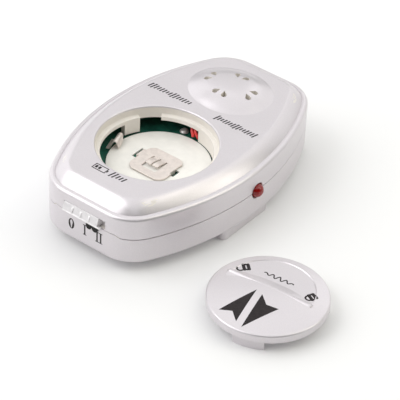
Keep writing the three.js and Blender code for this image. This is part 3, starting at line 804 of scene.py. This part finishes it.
# ---- switch ----
def slide_knob():
    """Its face slopes out to a lip, which hides the lever's bridge and runs on past the face."""
    left, right = -5.3, 3.65
    low, high = step_top + 0.15, base + 8.6
    nose, back = front - 0.75, front + 2
    guide_top = window_top + 0.2
    wedge = [(back, low), (nose + 0.13, low), (nose + 0.03, low + 0.05), (nose, low + 0.15),
             (nose + 0.03, low + 0.28), (nose + 0.15, low + 0.42), (nose + 0.72, high - 0.12),
             (nose + 0.83, high - 0.02), (nose + 0.95, high), (back, high)]
    face = prism_x("knob", wedge, left, right, [PALE])
    soften(face, 0.1, 2, 60)
    lip = block("lip", (left + 0.1, right + 0.95), (nose, nose + 0.7), (low, low + 0.3), [PALE])
    soften(lip, 0.1)
    rib = [(nose + 1.05, low + 0.4), (nose + 0.09, low + 0.4), (nose + 0.03, low + 0.5),
           (nose + 0.08, low + 0.65), (nose + 0.5, high - 0.42), (nose + 0.63, high - 0.32),
           (nose + 1.05, high - 0.28)]
    ridges = [soften(prism_x("ridge", rib, x - 0.26, x + 0.26, [PALE]), 0.1)
              for x in (-2.9, -0.7, 1.4)]
    guide = block("guide", (left - 1, right + 1.05), (back - 0.15, back + 0.4),
                  (base + 4.3, guide_top), [PALE])
    shutter = block("shutter", (left - 2.05, right + 2.25), (back - 0.95, back + 0.1),
                    (step_top + 0.1, guide_top), [PALE])
    fork = block("fork", (lever_low.x - 0.2, lever_high.x + 0.04), (front - 0.5, front + 3),
                 (base + 4, step_top + 0.5), [PALE])
    join(face, lip, *ridges, guide, shutter)
    cut(face, fork)
    return finish_piece(face, "slider", "pale_plastic", "slide_knob")


def switch_lever():
    """It reaches out over the step and ends in a two-toothed pointer in front of the wall."""
    left, right = lever_low.x, lever_high.x
    nose, back, crest, tooth = lever_low.y, front + 2.8, step_top + 0.35, 0.68
    lever = block("lever", (left, right), (nose, back), (step_top + 0.05, crest), [BLACK])
    drop = block("drop", (left, right), (back - 0.6, back), (lever_low.z, crest), [BLACK])
    arm = block("arm", (left, right), (back - 0.6, lever_high.y), (lever_low.z, base + 5.4),
                [BLACK])
    teeth = []
    for x in (left + tooth, right - tooth):
        plan = [(x - tooth, crest)] + arc((x, base + 5.83), tooth, 180, 360, 14)
        plan.append((x + tooth, crest))
        teeth.append(soften(prism_y("tooth", plan, nose + 0.33, nose, [BLACK]), 0.06))
    join(lever, drop, arm, *teeth)
    return finish_piece(lever, "slider", "black_plastic", "switch_lever")


# ---- lamp and sounder wires ----
def led_lamp():
    """A collar with a short shank and a round nose, lying along X."""
    radius, collar, foot = 1.5, (lamp_high.y - lamp_low.y) / 2, lamp_low.x
    profile = [(0, foot), (collar - 0.05, foot), (collar, foot + 0.05), (collar, foot + 0.85),
               (collar - 0.05, foot + 0.9), (radius, foot + 0.9)]
    profile += arc((0, lamp_high.x - radius), radius, 0, 90, 16)
    lamp = turned("lamp", profile, [RED_LENS], steps=64, spin=ALONG_X)
    moved(lamp, shifted(0, lamp_mid.y, seam))
    return finish_piece(lamp, "housing", "red_lens", "led_lamp", angle=50)


def sounder_wires():
    """A pair of wires that arch up from the board and run back to the sounder."""
    rise = board_high.z
    for hand, node in ((-1, "sounder_wire_a"), (1, "sounder_wire_b")):
        apart = 0.45 * hand
        start = [(0.1, 3.7, rise + 0.95), (-0.1, 3.9, rise + 1.4)]
        if hand > 0:
            start = [(1.15, 4.5, rise + 0.5), (1.0, 4.2, rise + 0.9), (0.8, 4.1, rise + 1.5)]
        path = start + [(apart - 0.3, 4.4, rise + 2.1), (apart - 0.6, 5.6, rise + 2.75),
                        (apart - 0.5, 7.4, rise + 2.2), (apart * 2.4, 9.6, rise + 1.85),
                        (apart * 3, 12.5, rise + 1.85)]
        wire = tube(node + "_look", path, 0.34, [RED_WIRE])
        finish_piece(wire, "housing", "red_plastic", node, angle=60)


def wire_solder_joint():
    foot = board_high.z + 0.1
    blob = turned("solder_blob", [(0, foot), (1.0, foot), (0.97, foot + 0.12), (0.86, foot + 0.3),
                                  (0.62, foot + 0.48), (0.36, foot + 0.59), (0, foot + 0.64)],
                  [SOLDER], at=(-3.2, 5.0), steps=40)
    return finish_piece(blob, "housing", "solder", "wire_solder_joint", angle=60)


# ---- battery well floor ----
def insulating_disc():
    low, high = disc_low.z, disc_high.z
    disc = turned("disc", [(0, low), (disc_radius - 0.02, low), (disc_radius, low + 0.03),
                           (disc_radius, high - 0.06), (disc_radius - 0.06, high), (0, high)],
                  [CREAM], at=(0, disc_mid.y), steps=160)
    cut(disc, *contact_slots(low - 1, high + 1))
    return finish_piece(disc, "housing", "cream_sheet", "insulating_disc")


TABS = ((-4.65, -7.3, 2.6), (4.15, -7.95, 1.5))     # x, y and length of each bent tab


def contact_slots(low, high):
    """Slots that the contact's tabs pass through, wider on the side away from the contact."""
    near, far = 0.5, 1.05
    return [block("slot", (x - (far if x < 0 else near), x + (near if x < 0 else far)),
                  (y - long / 2 - 0.35, y + long / 2 + 0.35), (low, high), [CREAM])
            for x, y, long in TABS]


def negative_contact():
    """A rounded plate with two sprung tongues in its window and a bent tab on each side."""
    low = board_high.z + 0.65
    high = low + 0.3
    plan = rounded_plan((-4.35, plate_high.x), (plate_low.y, plate_high.y), 2.0, 12)
    sheet = prism("contact", plan, low, high, [NICKEL])
    soften(sheet, 0.1)
    opening = rounded_plan((-1.9, 1.9), (well_y - 2.75, well_y + 1.4), 0.4, 5)
    cut(sheet, prism("opening", opening, low - 1, high + 1, [NICKEL]),
        block("notch", (4.3, 5), (-9.0, -5.4), (low - 1, high + 1), [NICKEL]))
    tabs = [block("tab", (x - 0.15, x + 0.15), (y - long / 2, y + long / 2), (plate_low.z, high),
                  [NICKEL]) for x, y, long in TABS]
    bridge = block("bridge", (-4.6, -4.2), (-8.3, -6.3), (low, high), [NICKEL])
    tongues = [contact_tongue(x, (low + high) / 2) for x in (-0.85, 0.85)]
    join(sheet, bridge, *tabs, *tongues)
    return finish_piece(sheet, "housing", "nickel", "negative_contact")


def contact_tongue(x, rise):
    path = [Vector((0, y + well_y, z + rise)) for y, z in
            ((1.7, 0), (1.0, 0.02), (0, 0.3), (-1.0, 0.45), (-1.6, 0.35))]
    return bent_strip("tongue", path, Vector((1, 0, 0)), 1.35, 0.24, x)


def bent_strip(name, path, across, width, thickness, offset=0.0):
    """A strip of sheet bent along a path. Its width runs along the across direction."""
    line = smooth_line(path, 32)
    loops = []
    for i, point in enumerate(line):
        ahead = heading(line, i)
        lift = ahead.cross(across).normalized() * thickness / 2
        left = point + across * (offset - width / 2)
        right = point + across * (offset + width / 2)
        loops.append([left - lift, right - lift, right + lift, left + lift])
    return loops_object(name, loops, [NICKEL])


def positive_contact():
    """A sprung leaf folded like a hairpin: it stands on the board, turns over at the top and
    comes down narrower towards the cell's edge."""
    foot, low = board_high.z + 0.15, board_high.z + 0.75
    path = [Vector((x, 0, z)) for x, z in
            ((-2.1, foot + 0.1), (-1.38, foot + 0.12), (-1.12, foot + 0.9), (-0.6, low + 1.25),
             (-0.18, low + 1.6), (0.2, low + 1.45), (0.5, low + 0.85), (0.68, low + 0.3),
             (0.58, low + 0.05))]
    leaf = bent_strip("leaf", path, Vector((0, 1, 0)), 3.4, 0.2, 1.6)
    taper = [(3.7, low + 1.5), (1.0, low - 0.3), (3.7, low - 0.3)]
    cut(leaf, prism_x("taper", taper, -0.12, 3, [NICKEL]))
    soften(leaf, 0.05, 2)
    moved(leaf, Matrix.Rotation(math.radians(19), 4, "Z"))
    moved(leaf, shifted(-9.54, -9.5, 0))
    return finish_piece(leaf, "housing", "nickel", "positive_contact")


# ---- belt clip ----
def belt_clip():
    """A flat blade with a round end, a knuckle on the pin and a jaw at its tip."""
    tip, round_end, inner, thickness = clip_low.x, 3.2, 9.9, base - 1.25
    knuckle = (hinge_low + cheek + 0.25, hinge_high - cheek - 0.25)
    plan = [(inner, hinge_low), (inner, hinge_high)]
    plan += arc((tip + round_end, hinge_high - round_end), round_end, 90, 180, 12)
    plan += arc((tip + round_end, hinge_low + round_end), round_end, 180, 270, 12)
    blade = prism("clip", plan, 0, thickness, [SILVER])
    soften(blade, 0.2)
    neck = block("neck", (inner - 0.4, pin_mid.x), knuckle, (0.15, thickness), [SILVER])
    barrel = to_hinge_line(rod("barrel", 1.0, *knuckle, [SILVER]))
    jaw = block("jaw", (tip + 0.8, tip + 1.8), (hinge_low + 3, hinge_high - 3), (1, base - 0.3),
                [SILVER])
    soften(jaw, 0.12)
    join(blade, neck, barrel, jaw)
    cut(blade, block("spring_room", (9.7, 14), (-3.0, 0.3), (-1, base), [SILVER]), pin_bore())
    return finish_piece(blade, "clip", "silver_plastic", "belt_clip")


# ---- printed marks ----
def printed(name, host, body, outlines, toward):
    """Ink on a piece: flat outlines dropped onto its surface along a direction, a hair thick."""
    reach, sunk, thickness, longest_edge = 20 * MM, 0.02 * MM, 0.035 * MM, 0.5 * MM
    mesh = bmesh.new()
    for outline_points in outlines:
        mesh.faces.new([mesh.verts.new(Vector(point) * MM) for point in outline_points])
    bmesh.ops.triangulate(mesh, faces=mesh.faces[:])
    for _ in range(2):
        long_edges = [edge for edge in mesh.edges if edge.calc_length() > longest_edge]
        bmesh.ops.subdivide_edges(mesh, edges=long_edges, cuts=1)
        bmesh.ops.triangulate(mesh, faces=mesh.faces[:])
    toward = Vector(toward)
    tree = BVHTree.FromPolygons([v.co for v in host.data.vertices],
                                [p.vertices for p in host.data.polygons])
    for vertex in mesh.verts:
        hit = tree.ray_cast(vertex.co + toward * reach, -toward)[0]
        vertex.co = hit - toward * sunk
    grown = bmesh.ops.extrude_face_region(mesh, geom=mesh.faces[:])["geom"]
    for part in grown:
        if isinstance(part, bmesh.types.BMVert):
            part.co += toward * thickness
    bmesh.ops.recalc_face_normals(mesh, faces=mesh.faces[:])
    data = bpy.data.meshes.new(name)
    mesh.to_mesh(data)
    mesh.free()
    data.materials.append(INK)
    ink = bpy.data.objects.new(name, data)
    bpy.context.scene.collection.objects.link(ink)
    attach(ink, body)
    return ink


def bar(x, y, width, height, lean=0.0):
    """An upright bar centred on a point, its top leaning over."""
    half, rise, shift = width / 2, height / 2, lean * height / 2
    return [(x - half - shift, y - rise), (x + half - shift, y - rise),
            (x + half + shift, y + rise), (x - half + shift, y + rise)]


def wave_bars(start, end, y, count, phase):
    """A row of leaning bars whose heights swell and sink like a sound wave."""
    bars = []
    for i, x in enumerate(evenly(start, end, count - 1)):
        height = 1.35 + 0.6 * math.sin(phase + 1.25 * i) * math.cos(0.4 * i)
        bars.append(bar(x, y, 0.34, height, 0.25))
    return bars


def gauge(x, y):
    """A small battery gauge: a frame of four bars, a nub and two filled cells."""
    wide, tall, line = 3.1, 1.5, 0.2
    parts = [bar(x, y + side * tall / 2, wide + line, line) for side in (-1, 1)]
    parts += [bar(x + side * wide / 2, y, line, tall - line) for side in (-1, 1)]
    parts.append(bar(x + wide / 2 + line + 0.05, y, 0.25, 0.6))
    return parts + [bar(x + step, y, 0.55, 0.8) for step in (-0.95, -0.15)]


mark_half = 1.26            # half the height of the marks below the switch


def serif_bar(x, height):
    """An upright bar with a short cross bar at each end."""
    line = 0.18
    cross = [bar(x, height + side * (mark_half - line / 2), 0.86, line) for side in (-1, 1)]
    return cross + [bar(x, height, 2 * line, 2 * (mark_half - line))]


def zero_ring(x, height):
    """An upright oval ring, in two halves, thicker at its sides."""
    turn = arc((0, 0), 1, -90, 90, 16)
    half = [(0.74 * across, mark_half * rise) for across, rise in turn]
    half += [(0.36 * across, (mark_half - 0.2) * rise) for across, rise in reversed(turn)]
    return [[(x + side * px, height + pz) for px, pz in half] for side in (1, -1)]


def flat(outlines, height):
    return [[(x, y, height) for x, y in points] for points in outlines]


def upright(outlines):
    return [[(x, front, z) for x, z in points] for points in outlines]


def on_cover(outlines):
    """Moves outlines from the cover's own frame to where it lies."""
    turn = Matrix.Rotation(cover_turn, 3, "Z")
    return [[turn @ Vector((x, y, 0)) + Vector((cover_mid.x, cover_mid.y, cover_high.z))
             for x, y in points] for points in outlines]


def padlock(x, y, turn, swing):
    """A rounded body with a slot left clear, and a shackle swung open or closed."""
    body = [rounded_plan((-1.05, 1.05), (0.12, 0.8), 0.25, 4),
            rounded_plan((-1.05, 1.05), (-0.8, -0.12), 0.25, 4),
            bar(-0.78, 0, 0.5, 0.28), bar(0.78, 0, 0.5, 0.28)]
    bow = arc((0, 0.8), 0.86, 0, 180, 12) + arc((0, 0.8), 0.48, 180, 0, 12)
    hinge = Vector((-0.67, 0.7))
    tilt = Matrix.Rotation(math.radians(swing), 2)
    shackle = [tuple(hinge + tilt @ (Vector(point) - hinge)) for point in bow]
    spin = Matrix.Rotation(math.radians(turn), 2)
    return [[tuple(spin @ Vector(point) + Vector((x, y))) for point in points]
            for points in body + [shackle]]


def stroke(points, width):
    """The outline of a line of even width drawn through points."""
    points = [Vector(point) for point in points]
    left, right = [], []
    for before, point, after in zip(points[:1] + points, points, points[1:] + points[-1:]):
        along = (after - before).normalized()
        across = Vector((-along.y, along.x)) * width / 2
        left.append(tuple(point + across))
        right.append(tuple(point - across))
    return left + right[::-1]


def ripple():
    """A thin wavy line across the recess floor, swelling in its middle."""
    start, run, height, waves = -4.2, 6.7, 5.2, 4.5
    line = []
    for part in evenly(0, 1, 72):
        swell = 0.12 + 0.4 * math.sin(math.pi * part)
        line.append((start + run * part, height + swell * math.sin(2 * math.pi * waves * part)))
    return stroke(line, 0.26)


def add_prints(housing, lower, cover):
    """Generic marks in place of the print on the top, under the switch and on the cover."""
    words = wave_bars(-13.9, -3.6, 6.95, 15, 0.4) + wave_bars(3.7, 13.4, 6.75, 15, 2.1)
    top_marks = words + gauge(-2.9, -21.9) + wave_bars(0.1, 3.2, -21.9, 5, 1.0)
    printed("top_marks", housing, "housing", flat(top_marks, top), (0, 0, 1))
    marks = zero_ring(-3.4, base + 3.87) + serif_bar(0.08, base + 4.03)
    marks += serif_bar(3.27, base + 3.95) + serif_bar(4.2, base + 3.95)
    printed("switch_marks", lower, "housing", upright(marks), (0, -1, 0))
    arrows = [[(-2.2, -0.7), (-5.3, -9.3), (-2.85, -8.3), (-0.75, -10.3)],
              [(0.87, -11.0), (-0.6, -1.33), (1.65, -3.4), (4.2, -3.05)]]
    locks = padlock(-7.9, 4.45, 133, 40) + padlock(7.3, 4.3, 150, 0)
    printed("cover_marks", cover, "cover", on_cover(arrows + locks + [ripple()]), (0, 0, 1))


# ---- looks of the CAD nodes that stay in place ----
NODE_LOOKS = [
    (BOARD, ["circuit_board"]),
    (BRASS, ["sounder_plate"]),
    (COPPER, ["boost_coil"]),
    (CERAMIC, ["sounder_ceramic", "timing_capacitor"]),
    (STEEL, ["switch_case", "led_leg_a", "led_leg_b", "clip_pin", "clip_spring"]
     + [f"housing_screw_{number}" for number in (1, 2, 3, 4)]),
    (BLACK, ["switch_base", "driver_chip", "transistor", "reservoir_capacitor", "resistor_a",
             "resistor_b"]),
]


def dress_frame():
    for material, nodes in NODE_LOOKS:
        for node in nodes:
            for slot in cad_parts[node].material_slots:
                slot.material = material


# ---- light and ground ----
def softbox(name, toward, width, power, colour):
    """A square light aimed at the part from a fixed distance."""
    distance = 0.9
    lamp = bpy.data.lights.new(name, "AREA")
    lamp.shape = "RECTANGLE"
    lamp.size, lamp.size_y = width, width
    lamp.energy = power
    lamp.color = colour
    holder = bpy.data.objects.new(name, lamp)
    holder.location = Vector(toward).normalized() * distance
    holder.rotation_euler = (-holder.location).to_track_quat("-Z", "Y").to_euler()
    bpy.context.scene.collection.objects.link(holder)


# name, direction from the part, width in metres, power in watts, colour
SOFTBOXES = [
    ("front_left", (-0.48, -0.59, 0.6), 0.9, 5.6, (1, 1, 1)),
    ("left", (-1, 0.1, 0.45), 0.8, 2.5, (1, 1, 1)),
    ("right_back", (0.76, 0.465, 0.478), 0.35, 1.0, (1, 0.99, 0.9)),
    ("right_back_wide", (0.76, 0.465, 0.478), 0.9, 0.8, (1, 0.99, 0.92)),
    ("right_high", (0.58, 0.24, 0.77), 0.5, 0.85, (1, 0.98, 0.8)),
    ("back", (0.1, 1, 0.5), 0.8, 2.1, (1, 1, 1)),
    ("back_left", (-0.6, 0.8, 0.6), 0.6, 0.75, (1, 1, 1)),
    ("overhead", (0, 0.01, 1), 1.4, 6.4, (1, 1, 1)),
]


def set_light():
    world = bpy.data.worlds.new("studio")
    world.use_nodes = True
    background = world.node_tree.nodes["Background"]
    background.inputs["Color"].default_value = (1, 1, 1, 1)
    background.inputs["Strength"].default_value = 0.02
    bpy.context.scene.world = world
    bpy.context.scene.view_settings.view_transform = "Standard"
    for box in SOFTBOXES:
        softbox(*box)


def add_floor():
    table = new_material("white_table", (0.80, 0.80, 0.80), 0.7, Emission_Strength=0.09)
    table.node_tree.nodes["Principled BSDF"].inputs["Emission Color"].default_value = (1, 1, 1, 1)
    far = 4000
    corners = [(-far, -far, 0), (far, -far, 0), (far, far, 0), (-far, far, 0)]
    mesh_object("ground", corners, [(0, 1, 2, 3)], [table])


add_prints(top_housing(), bottom_housing(), battery_cover())
slide_knob()
switch_lever()
led_lamp()
sounder_wires()
wire_solder_joint()
insulating_disc()
negative_contact()
positive_contact()
belt_clip()
dress_frame()
set_light()
add_floor()
